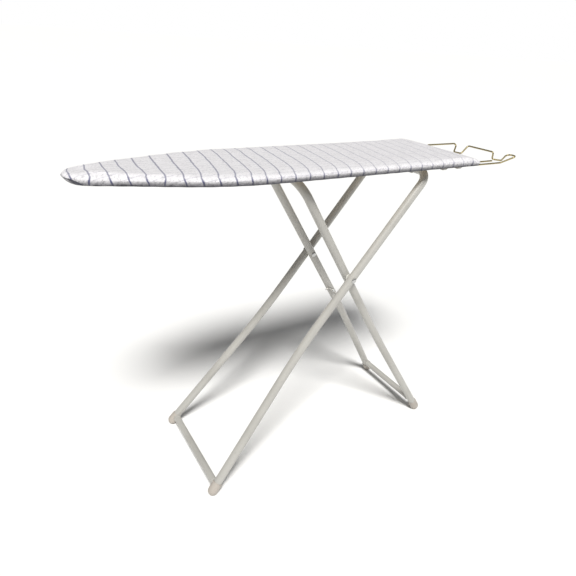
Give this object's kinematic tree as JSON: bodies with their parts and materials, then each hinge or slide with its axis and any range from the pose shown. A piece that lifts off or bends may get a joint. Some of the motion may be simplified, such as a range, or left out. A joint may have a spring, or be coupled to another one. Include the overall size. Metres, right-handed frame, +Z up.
{
  "type": "ironing board",
  "caption": "Free-standing folding ironing board with a padded fabric top, crossed tube legs and a wire iron rest.",
  "frame": {"origin": "centre of the bounding box at floor level, between the four feet", "axes": "+X along the board from the nose to the square end and the iron rest, +Y across the board, +Z up"},
  "size_m": [1.3204, 0.3668, 0.9032],
  "materials": {
    "cover_fabric": "woven cotton cover, pale lavender grey with thin blue cross stripes",
    "foam": "open-cell polyurethane foam with felt face",
    "deck_panel": "resin-faced particle board, sanded edge",
    "frame_enamel": "satin light grey stoved enamel on steel tube",
    "zinc_steel": "bright zinc plated",
    "bracket_plastic": "moulded nylon, matt",
    "brass_wire": "yellow passivated steel wire, satin",
    "foot_plastic": "moulded soft plastic, matt",
    "washer_plastic": "nylon",
    "hook_wire": "plated wire"
  },
  "bodies": {
    "board": {"board_deck": "deck_panel", "foam_pad": "foam", "board_cover": "cover_fabric", "hinge_saddle_near": "frame_enamel", "hinge_saddle_far": "frame_enamel", "rack_plate_near": "zinc_steel", "rack_plate_far": "zinc_steel", "rack_spacer": "zinc_steel", "underside_screws": "zinc_steel", "rest_bracket_inner": "bracket_plastic", "rest_bracket_outer": "bracket_plastic", "iron_rest_frame": "brass_wire", "rest_rail_near": "brass_wire", "rest_rail_far": "brass_wire"},
    "outer_frame": {"outer_leg_frame": "frame_enamel", "outer_cross_bar": "frame_enamel", "outer_foot_near": "foot_plastic", "outer_foot_far": "foot_plastic", "pivot_rivet_near": "zinc_steel", "pivot_rivet_far": "zinc_steel", "pivot_washer_near": "washer_plastic", "pivot_washer_far": "washer_plastic"},
    "inner_frame": {"inner_leg_frame": "frame_enamel", "inner_cross_bar": "frame_enamel", "inner_foot_near": "foot_plastic", "inner_foot_far": "foot_plastic", "hook_rivet": "zinc_steel"},
    "hook": {"storage_hook": "hook_wire"}
  },
  "joints": [
    {"name": "outer_fold", "type": "hinge", "parent": "board", "child": "outer_frame", "pos_m": [0.29104, 0, 0.8615], "axis": [0, 1, 0], "range_deg": [0, 48.5]},
    {"name": "inner_fold", "type": "hinge", "parent": "outer_frame", "child": "inner_frame", "pos_m": [0.0586, 0, 0.5724], "axis": [0, 1, 0], "range_deg": [-104, 0]},
    {"name": "hook_swing", "type": "hinge", "parent": "inner_frame", "child": "hook", "pos_m": [0.14685, 0.077, 0.43062], "axis": [0, 1, 0], "range_deg": [-25, 60]}
  ],
  "couplings": [
    {"joint": "inner_fold", "follows": "outer_fold", "ratio": -2.1373}
  ]
}
